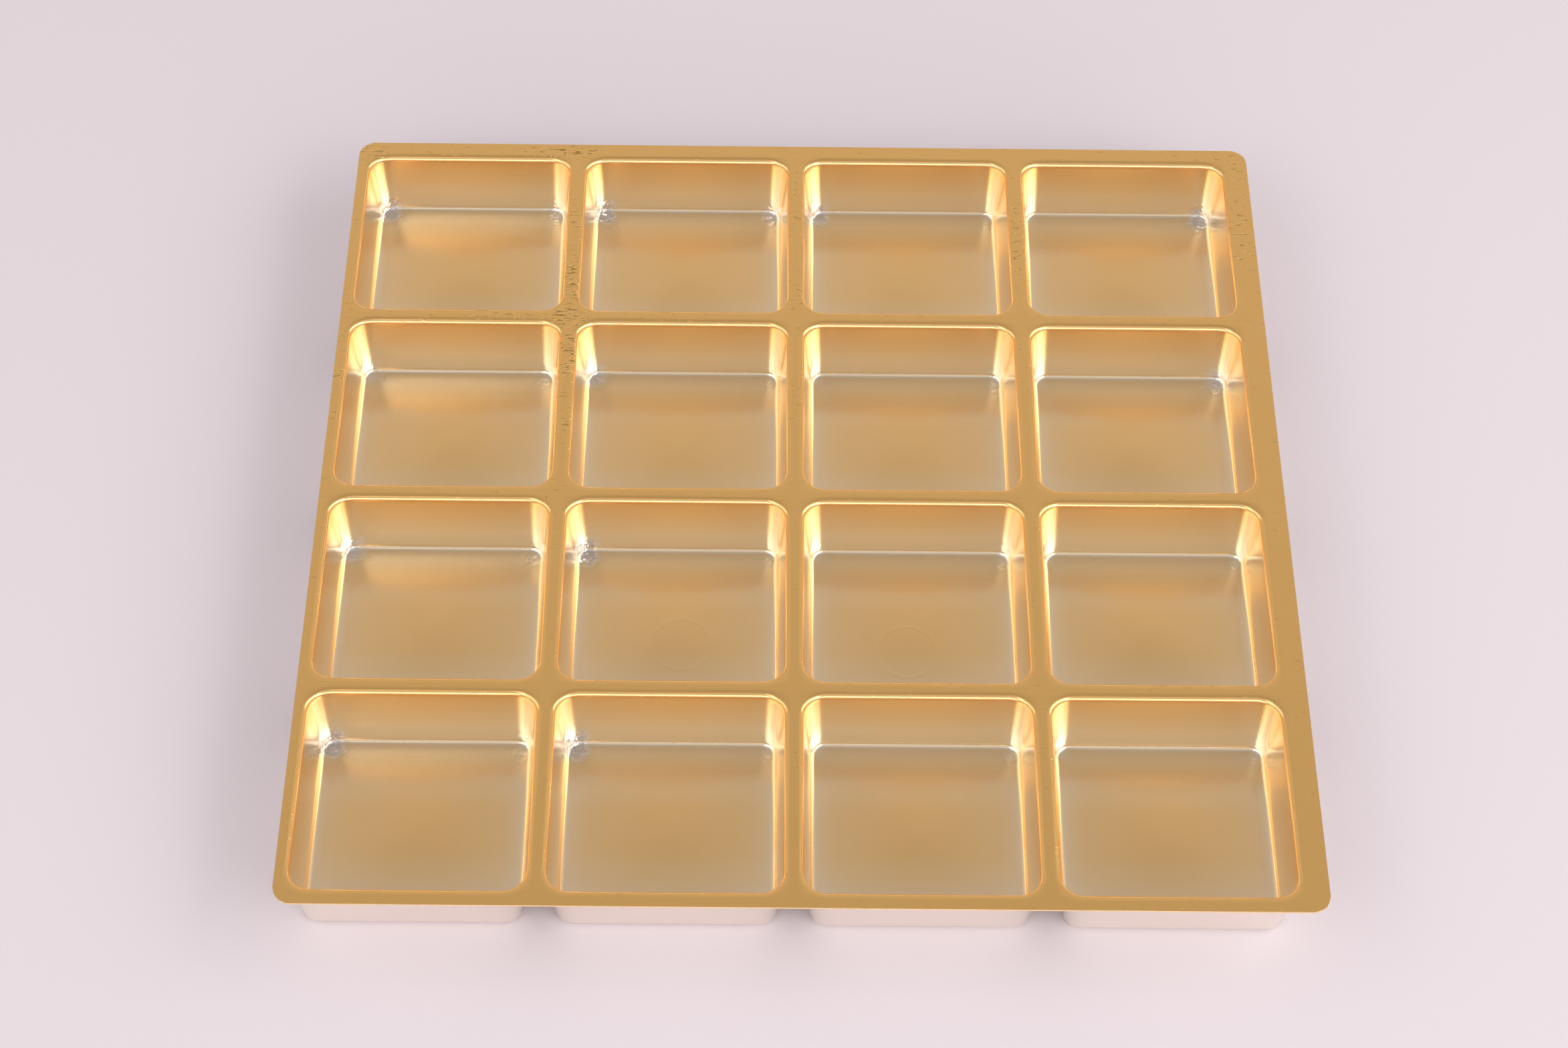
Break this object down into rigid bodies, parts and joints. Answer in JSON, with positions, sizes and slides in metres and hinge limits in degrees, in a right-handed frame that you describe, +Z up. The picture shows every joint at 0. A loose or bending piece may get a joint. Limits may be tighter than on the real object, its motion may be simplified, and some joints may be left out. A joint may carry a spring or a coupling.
{
  "type": "thermoformed plastic tray",
  "caption": "Thin gold-metallised film tray, formed in one piece with a square grid of open, drafted pockets hanging from one flat flange.",
  "frame": {"origin": "below the middle of the flange's trimmed outline, on the plane that the undersides of the pocket floors stand on", "axes": "+Z up, out of the pockets' mouths; +X to the right and +Y to the back along the trimmed edges, with the wide side rim at +X and the wide end rim at +Y"},
  "size_m": [0.155, 0.155, 0.0118],
  "materials": {
    "film": "gold vacuum-metallised gloss, thinning to clear film at the folds and corners of the pockets"
  },
  "bodies": {
    "root": {"tray": "film"}
  },
  "joints": []
}
